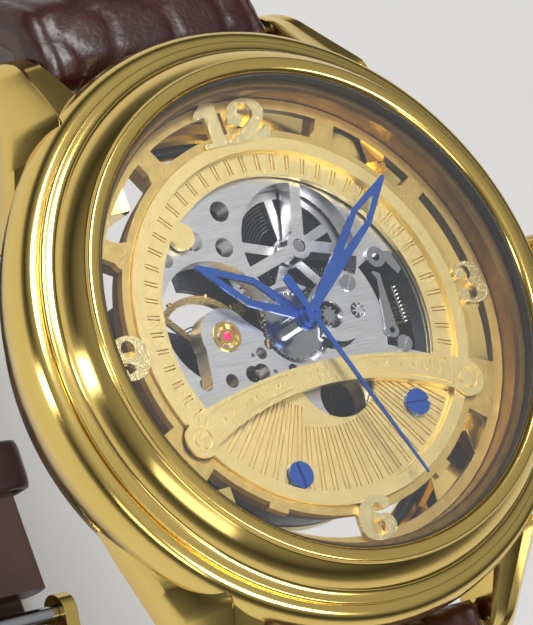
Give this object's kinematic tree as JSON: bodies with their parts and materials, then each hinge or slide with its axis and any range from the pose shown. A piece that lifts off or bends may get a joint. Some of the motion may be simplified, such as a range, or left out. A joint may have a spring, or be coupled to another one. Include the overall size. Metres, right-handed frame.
{
  "type": "wristwatch",
  "caption": "Skeleton automatic wristwatch with an open dial, blued hands and a buckled padded leather strap; hands, rotor, train, crown and buckle move.",
  "frame": {"origin": "centre of the case back's outer flat face", "axes": "+Z out of the dial, +Y towards 12 o'clock, +X towards the crown at 3 o'clock"},
  "size_m": [0.0474, 0.0634, 0.0636],
  "materials": {
    "polished_gold": "polished gold plating",
    "matte_gold": "fine sandblasted gold plating",
    "brushed_gold": "satin gold plating",
    "brushed_plate": "brushed rhodium",
    "polished_steel": "polished steel",
    "brass_wheels": "satin gilt brass",
    "blued_steel": "glossy blue",
    "dark_plate": "brushed black plating",
    "dark_steel": "dark tempered steel",
    "glass": "clear",
    "seal": "matte black",
    "ruby": "polished synthetic ruby",
    "leather": "crocodile-grained, semi-gloss"
  },
  "bodies": {
    "watch": {"case_body": "polished_gold", "bezel": "polished_gold", "crystal": "glass", "crystal_gasket": "seal", "case_back": "polished_gold", "back_crystal": "glass", "back_gasket": "seal", "crown_tube": "polished_steel", "inner_flange": "polished_gold", "dial_frame": "matte_gold", "chapter_ring": "brushed_gold", "dial_bridge": "brushed_gold", "lower_dial_plate": "brushed_gold", "numerals": "polished_gold", "dial_screws": "blued_steel", "main_plate": "brushed_plate", "movement_ring": "matte_gold", "mainspring": "dark_steel", "hairspring": "dark_steel", "balance_cock": "dark_plate", "train_bridge": "dark_plate", "barrel_bridge": "dark_plate", "motion_cover": "brushed_plate", "yoke_spring": "polished_steel", "movement_screws": "polished_steel", "pivot_jewels": "ruby", "shock_jewel": "polished_gold", "rotor_bearing": "polished_steel", "spring_bars": "polished_steel", "strap_upper": "leather", "strap_lower": "leather", "buckle_bar": "polished_steel", "fixed_keeper": "leather"},
    "rotor": {"rotor": "brushed_gold"},
    "crown_slide": {"crown_gasket": "seal"},
    "crown": {"crown": "polished_gold", "stem": "polished_steel"},
    "seconds": {"second_hand": "blued_steel", "fourth_wheel": "brass_wheels"},
    "minutes": {"minute_hand": "blued_steel", "cannon_pinion": "polished_steel", "center_wheel": "brass_wheels"},
    "hours": {"hour_hand": "blued_steel", "hour_wheel": "polished_steel"},
    "minute_work": {"minute_wheel": "polished_steel"},
    "barrel": {"barrel_drum": "brushed_plate"},
    "third": {"third_wheel": "brass_wheels"},
    "escape": {"escape_wheel": "polished_steel"},
    "pallets": {"pallet_fork": "polished_steel"},
    "balance": {"balance_wheel": "brass_wheels"},
    "ratchet": {"ratchet_wheel": "polished_steel", "barrel_arbor": "polished_steel"},
    "crown_wheel": {"crown_wheel": "polished_steel"},
    "click": {"click": "polished_steel"},
    "setting_lever": {"setting_lever": "polished_steel"},
    "yoke": {"yoke_lever": "polished_steel"},
    "buckle": {"buckle_frame": "polished_gold"},
    "tongue": {"buckle_tongue": "polished_gold"},
    "sliding_keeper": {"sliding_keeper": "leather"}
  },
  "joints": [
    {"name": "seconds_turn", "type": "hinge", "parent": "watch", "child": "seconds", "pos_m": [0, 0, 0.006], "axis": [0, 0, 1], "continuous": true},
    {"name": "minutes_turn", "type": "hinge", "parent": "watch", "child": "minutes", "pos_m": [0, 0, 0.006], "axis": [0, 0, 1], "continuous": true},
    {"name": "hours_turn", "type": "hinge", "parent": "watch", "child": "hours", "pos_m": [0, 0, 0.006], "axis": [0, 0, 1], "continuous": true},
    {"name": "minute_wheel_turn", "type": "hinge", "parent": "watch", "child": "minute_work", "pos_m": [0.00296, 0.00013, 0.0074], "axis": [0, 0, 1], "continuous": true},
    {"name": "third_wheel_turn", "type": "hinge", "parent": "watch", "child": "third", "pos_m": [0.0009, -0.00366, 0.006], "axis": [0, 0, 1], "continuous": true},
    {"name": "barrel_turn", "type": "hinge", "parent": "watch", "child": "barrel", "pos_m": [0.00265, 0.0054, 0.006], "axis": [0, 0, 1], "continuous": true},
    {"name": "escape_wheel_turn", "type": "hinge", "parent": "watch", "child": "escape", "pos_m": [-0.00287, -0.00286, 0.006], "axis": [0, 0, 1], "continuous": true},
    {"name": "pallet_fork_rock", "type": "hinge", "parent": "watch", "child": "pallets", "pos_m": [-0.0042, -0.00143, 0.006], "axis": [0, 0, 1], "range_deg": [-5, 5]},
    {"name": "balance_swing", "type": "hinge", "parent": "watch", "child": "balance", "pos_m": [-0.00574, 0.00024, 0.006], "axis": [0, 0, 1], "range_deg": [-270, 270]},
    {"name": "rotor_swing", "type": "hinge", "parent": "watch", "child": "rotor", "pos_m": [0, 0, 0.0024], "axis": [0, 0, 1], "continuous": true},
    {"name": "crown_pull", "type": "slide", "parent": "watch", "child": "crown_slide", "axis": [1, 0, 0], "range_m": [0, 0.0012]},
    {"name": "crown_turn", "type": "hinge", "parent": "crown_slide", "child": "crown", "pos_m": [0.023, 0, 0.0049], "axis": [1, 0, 0], "continuous": true},
    {"name": "crown_wheel_turn", "type": "hinge", "parent": "watch", "child": "crown_wheel", "pos_m": [0.0083, 0.009, 0.0032], "axis": [0, 0, 1], "continuous": true},
    {"name": "ratchet_wheel_turn", "type": "hinge", "parent": "watch", "child": "ratchet", "pos_m": [0.00265, 0.0054, 0.0032], "axis": [0, 0, 1], "continuous": true},
    {"name": "click_rock", "type": "hinge", "parent": "watch", "child": "click", "pos_m": [-0.0024, 0.0086, 0.0032], "axis": [0, 0, 1], "range_deg": [0, 10]},
    {"name": "setting_lever_rock", "type": "hinge", "parent": "watch", "child": "setting_lever", "pos_m": [0.0083, 0.0034, 0.0085], "axis": [0, 0, 1], "range_deg": [-12, 0]},
    {"name": "yoke_rock", "type": "hinge", "parent": "watch", "child": "yoke", "pos_m": [0.0075, -0.0019, 0.0085], "axis": [0, 0, 1], "range_deg": [-4, 0]},
    {"name": "buckle_fold", "type": "hinge", "parent": "watch", "child": "buckle", "pos_m": [0, -0.0056, -0.047], "axis": [1, 0, 0], "range_deg": [-1, 30]},
    {"name": "tongue_fold", "type": "hinge", "parent": "watch", "child": "tongue", "pos_m": [0, -0.0056, -0.047], "axis": [1, 0, 0], "range_deg": [-5, 1.5]},
    {"name": "keeper_slide", "type": "slide", "parent": "watch", "child": "sliding_keeper", "axis": [0, 0.9613, 0.2756], "range_m": [-0.0008, 0.0008]}
  ],
  "couplings": [
    {"joint": "minutes_turn", "follows": "seconds_turn", "ratio": 0.016667},
    {"joint": "hours_turn", "follows": "seconds_turn", "ratio": 0.0013889},
    {"joint": "minute_wheel_turn", "follows": "seconds_turn", "ratio": -0.0055556},
    {"joint": "third_wheel_turn", "follows": "seconds_turn", "ratio": -0.13333},
    {"joint": "barrel_turn", "follows": "seconds_turn", "ratio": -0.0027778},
    {"joint": "escape_wheel_turn", "follows": "seconds_turn", "ratio": -8},
    {"joint": "ratchet_wheel_turn", "follows": "crown_turn", "ratio": -0.23333},
    {"joint": "crown_wheel_turn", "follows": "crown_turn", "ratio": 0.30435},
    {"joint": "setting_lever_rock", "follows": "crown_pull", "rad_per_m": -145.44},
    {"joint": "yoke_rock", "follows": "crown_pull", "rad_per_m": -43.633}
  ]
}
